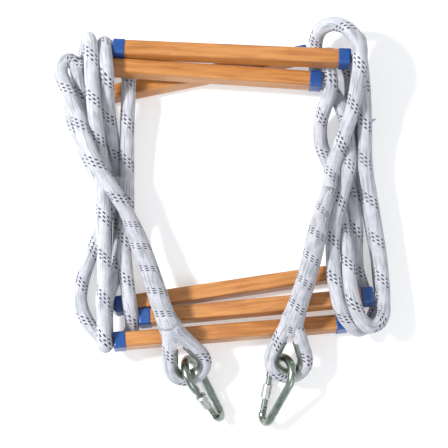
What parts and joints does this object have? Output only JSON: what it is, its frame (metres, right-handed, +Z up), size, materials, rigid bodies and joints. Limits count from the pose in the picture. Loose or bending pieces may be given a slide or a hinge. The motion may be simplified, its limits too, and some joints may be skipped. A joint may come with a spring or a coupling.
{
  "type": "escape rope ladder",
  "caption": "Folded and tied escape rope ladder: wooden rungs between braided side ropes with spliced eyes on thimbles and screw-lock carabiners.",
  "frame": {"origin": "middle of the floor area that the folded ladder covers, on the floor", "axes": "+X along the rungs from the left rope to the right one, +Y from the carabiners to the top bends, +Z up from the floor"},
  "size_m": [0.4033, 0.4922, 0.0798],
  "materials": {
    "side_rope": "braided, matt",
    "spliced_rope": "braided, matt",
    "rung_wood": "varnished",
    "shrink_sleeve": "glossy",
    "clear_film": "clear, glossy",
    "thimble_steel": "zinc plated",
    "carabiner_steel": "polished",
    "lock_steel": "satin",
    "spring_steel": "plain",
    "plunger_brass": "plain"
  },
  "bodies": {
    "ladder": {"rope_left": "side_rope", "rope_right": "side_rope", "splice_left": "spliced_rope", "splice_right": "spliced_rope", "eye_left": "side_rope", "eye_right": "side_rope", "thimble_left": "thimble_steel", "thimble_right": "thimble_steel", "tie_left": "clear_film", "tie_right": "clear_film", "rung_1": "rung_wood", "sleeve_1_left": "shrink_sleeve", "sleeve_1_right": "shrink_sleeve", "rung_2": "rung_wood", "sleeve_2_left": "shrink_sleeve", "sleeve_2_right": "shrink_sleeve", "rung_3": "rung_wood", "sleeve_3_left": "shrink_sleeve", "sleeve_3_right": "shrink_sleeve", "rung_4": "rung_wood", "sleeve_4_left": "shrink_sleeve", "sleeve_4_right": "shrink_sleeve", "rung_5": "rung_wood", "sleeve_5_left": "shrink_sleeve", "sleeve_5_right": "shrink_sleeve", "rung_6": "rung_wood", "sleeve_6_left": "shrink_sleeve", "sleeve_6_right": "shrink_sleeve"},
    "carabiner_left": {"carabiner_left": "carabiner_steel", "gate_pin_left": "carabiner_steel"},
    "gate_left": {"gate_left": "carabiner_steel", "gate_plunger_left": "plunger_brass", "gate_spring_left": "spring_steel"},
    "screw_sleeve_left": {"screw_sleeve_left": "lock_steel"},
    "carabiner_right": {"carabiner_right": "carabiner_steel", "gate_pin_right": "carabiner_steel"},
    "gate_right": {"gate_right": "carabiner_steel", "gate_plunger_right": "plunger_brass", "gate_spring_right": "spring_steel"},
    "screw_sleeve_right": {"screw_sleeve_right": "lock_steel"}
  },
  "joints": [
    {"name": "carabiner_left_tilt", "type": "hinge", "parent": "ladder", "child": "carabiner_left", "pos_m": [-0.0355, -0.1845, 0.03], "axis": [-0.9272, -0.3746, 0], "range_deg": [0, 20]},
    {"name": "gate_left_swing", "type": "hinge", "parent": "carabiner_left", "child": "gate_left", "pos_m": [-0.01029, -0.2285, 0.02421], "axis": [-0.8505, -0.4091, -0.3307], "range_deg": [0, 20], "stiffness_Nm_per_rad": 0.05, "springref_deg": -14.32},
    {"name": "screw_sleeve_left_slide", "type": "slide", "parent": "gate_left", "child": "screw_sleeve_left", "axis": [-0.5241, 0.7126, 0.4663], "range_m": [0, 0.0075]},
    {"name": "carabiner_right_tilt", "type": "hinge", "parent": "ladder", "child": "carabiner_right", "pos_m": [0.0776, -0.1835, 0.0257], "axis": [-0.9976, 0.0698, 0], "range_deg": [0, 20]},
    {"name": "gate_right_swing", "type": "hinge", "parent": "carabiner_right", "child": "gate_right", "pos_m": [0.04968, -0.22556, 0.00768], "axis": [0.8202, -0.1645, -0.548], "range_deg": [0, 20], "stiffness_Nm_per_rad": 0.05, "springref_deg": -14.32},
    {"name": "screw_sleeve_right_slide", "type": "slide", "parent": "gate_right", "child": "screw_sleeve_right", "axis": [0.1955, 0.9807, -0.0018], "range_m": [0, 0.0075]}
  ]
}
